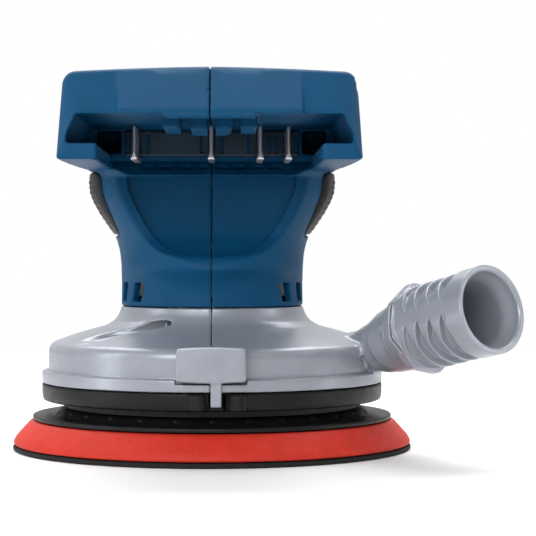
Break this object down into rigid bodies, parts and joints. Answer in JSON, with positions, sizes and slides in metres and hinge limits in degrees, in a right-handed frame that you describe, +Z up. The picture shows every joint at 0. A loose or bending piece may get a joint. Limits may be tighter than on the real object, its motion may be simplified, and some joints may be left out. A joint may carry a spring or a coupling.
{
  "type": "cordless random orbital sander",
  "caption": "Palm-grip random orbital sander with a rear battery port, a ribbed dust outlet, a round foam backing pad and a free-spinning orbiting drive.",
  "frame": {"origin": "point on the sanding face under the motor axis", "axes": "+Z up along the motor axis, +Y towards the switch at the front, -Y out of the battery port, +X towards the dust outlet's side"},
  "size_m": [0.1521, 0.1567, 0.118],
  "materials": {
    "blue_plastic": "fine-textured satin",
    "grey_plastic": "silver-grey satin with a fine cast texture",
    "black_rubber": "matte soft-touch",
    "black_plastic": "satin",
    "red_foam": "closed-cell foam, matte",
    "hook_fabric": "hook face",
    "steel": "ground",
    "aluminium": "machined",
    "lamination_steel": "stacked sheet",
    "magnet": "coated ring magnet",
    "copper": "enamelled copper wire",
    "tinned_contact": "tinned",
    "circuit_board": "solder-masked laminate",
    "red_wire": "insulated wire",
    "black_wire": "insulated wire",
    "yellow_wire": "insulated wire"
  },
  "bodies": {
    "casing": {"housing_left": "blue_plastic", "housing_right": "blue_plastic", "side_grip_left": "black_rubber", "side_grip_right": "black_rubber", "palm_pad": "black_rubber", "shroud_left": "grey_plastic", "shroud_right": "grey_plastic", "base_ring": "black_plastic", "brake_ring": "black_rubber", "rear_clip": "grey_plastic", "terminal_block": "black_plastic", "contact_blade_1": "tinned_contact", "contact_blade_2": "tinned_contact", "contact_blade_3": "tinned_contact", "contact_blade_4": "tinned_contact", "control_board": "circuit_board", "heat_sink": "aluminium", "capacitor_1": "black_plastic", "capacitor_2": "black_plastic", "switch_body": "black_plastic", "speed_potentiometer": "black_plastic", "stator_core": "lamination_steel", "stator_windings": "copper", "lower_bearing_plate": "aluminium", "upper_bearing_bracket": "black_plastic", "rotor_sensor_board": "circuit_board", "lower_bearing_outer_race": "steel", "upper_bearing_outer_race": "steel", "housing_screw_1": "steel", "housing_screw_2": "steel", "housing_screw_3": "steel", "shroud_screw_1": "steel", "shroud_screw_2": "steel", "battery_lead_positive": "red_wire", "battery_lead_negative": "black_wire", "phase_lead_1": "yellow_wire", "phase_lead_2": "yellow_wire", "phase_lead_3": "yellow_wire"},
    "spindle": {"motor_shaft": "steel", "rotor_core": "lamination_steel", "rotor_magnet": "magnet", "lower_bearing_inner_race": "steel", "upper_bearing_inner_race": "steel", "fan_wheel": "black_plastic", "counterweight": "steel", "pad_bearing_outer_race": "steel"},
    "sanding_pad": {"pad_carrier": "aluminium", "pad_bearing_inner_race": "steel", "pad_backing_plate": "black_plastic", "pad_foam": "red_foam", "pad_hook_face": "hook_fabric", "pad_screw_1": "steel", "pad_screw_2": "steel", "pad_screw_3": "steel", "pad_screw_4": "steel"},
    "rocker": {"switch_rocker": "black_plastic"},
    "wheel": {"speed_wheel": "black_plastic"},
    "outlet": {"dust_outlet": "grey_plastic", "outlet_seal": "black_rubber"}
  },
  "joints": [
    {"name": "spindle_spin", "type": "hinge", "parent": "casing", "child": "spindle", "pos_m": [0, 0, 0.04], "axis": [0, 0, 1], "continuous": true},
    {"name": "pad_spin", "type": "hinge", "parent": "spindle", "child": "sanding_pad", "pos_m": [0, 0.00125, 0.0246], "axis": [0, 0, 1], "continuous": true},
    {"name": "rocker_tilt", "type": "hinge", "parent": "casing", "child": "rocker", "pos_m": [0, 0.044, 0.1014], "axis": [1, 0, 0], "range_deg": [0, 10]},
    {"name": "speed_wheel_turn", "type": "hinge", "parent": "casing", "child": "wheel", "pos_m": [0, 0.0364, 0.0914], "axis": [0, 0, 1], "range_deg": [0, 270]},
    {"name": "outlet_twist", "type": "hinge", "parent": "casing", "child": "outlet", "pos_m": [0.0802, -0.06, 0.0454], "axis": [0.6116, -0.7587, 0.2243], "range_deg": [0, 30]}
  ]
}
